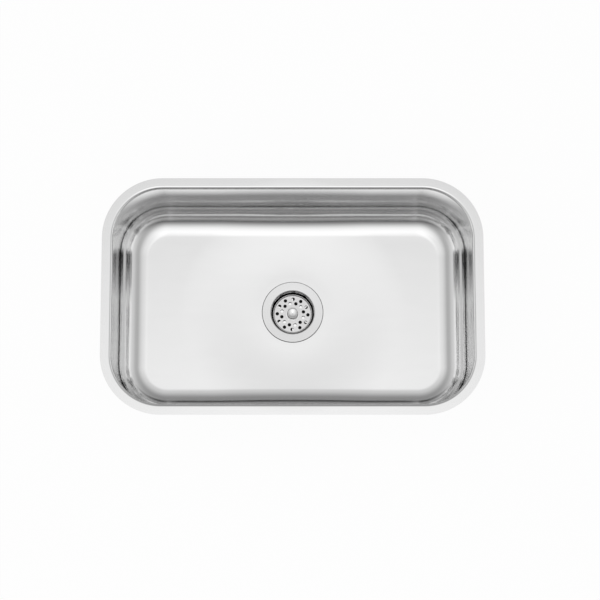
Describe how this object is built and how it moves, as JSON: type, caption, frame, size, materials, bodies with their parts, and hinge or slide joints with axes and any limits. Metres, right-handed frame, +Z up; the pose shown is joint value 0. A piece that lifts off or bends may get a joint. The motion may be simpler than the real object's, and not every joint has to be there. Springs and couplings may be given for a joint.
{
  "type": "undermount kitchen sink",
  "caption": "Single-bowl undermount kitchen sink of pressed stainless steel with a flat flange, rounded corners and a lift-out basket strainer.",
  "frame": {"origin": "centre of the bowl's opening, in the top plane of the flange that meets the worktop's underside", "axes": "+Z up out of the bowl, +X along its length to the right, +Y to the back"},
  "size_m": [0.587, 0.3668, 0.2991],
  "materials": {
    "bowl_steel": "satin, fine brush",
    "strainer_steel": "satin",
    "basket_steel": "satin",
    "clip_steel": "bright wire",
    "knob_chrome": "polished",
    "tail_chrome": "bright",
    "post_brass": "turned",
    "seal_rubber": "matt",
    "stopper_rubber": "matt",
    "friction_fibre": "pressed fibre",
    "nut_plastic": "moulded",
    "socket_plastic": "moulded",
    "washer_plastic": "moulded",
    "deadening_pad": "matt, fine grain"
  },
  "bodies": {
    "sink": {"sink_bowl": "bowl_steel", "right_pad": "deadening_pad", "left_pad": "deadening_pad", "back_pad": "deadening_pad", "front_pad": "deadening_pad", "bottom_pad_right": "deadening_pad", "bottom_pad_left": "deadening_pad", "strainer_cup": "strainer_steel", "flange_seal": "seal_rubber", "lower_gasket": "seal_rubber", "friction_ring": "friction_fibre", "locknut": "nut_plastic", "cross_bars": "strainer_steel", "centre_socket": "socket_plastic", "tailpiece_washer": "washer_plastic", "tailpiece": "tail_chrome", "slip_nut": "nut_plastic"},
    "basket_stem": {"post": "post_brass", "knob": "knob_chrome", "knob_collar": "knob_chrome", "post_nut": "post_brass", "spring_clip": "clip_steel"},
    "basket": {"basket_dish": "basket_steel", "basket_spider": "basket_steel", "stopper": "stopper_rubber", "stopper_washer": "basket_steel"}
  },
  "joints": [
    {"name": "basket_lift", "type": "slide", "parent": "sink", "child": "basket_stem", "axis": [0, 0, 1], "range_m": [0, 0.24]},
    {"name": "basket_turn", "type": "hinge", "parent": "basket_stem", "child": "basket", "pos_m": [0, 0, -0.1949], "axis": [0, 0, 1], "continuous": true}
  ]
}
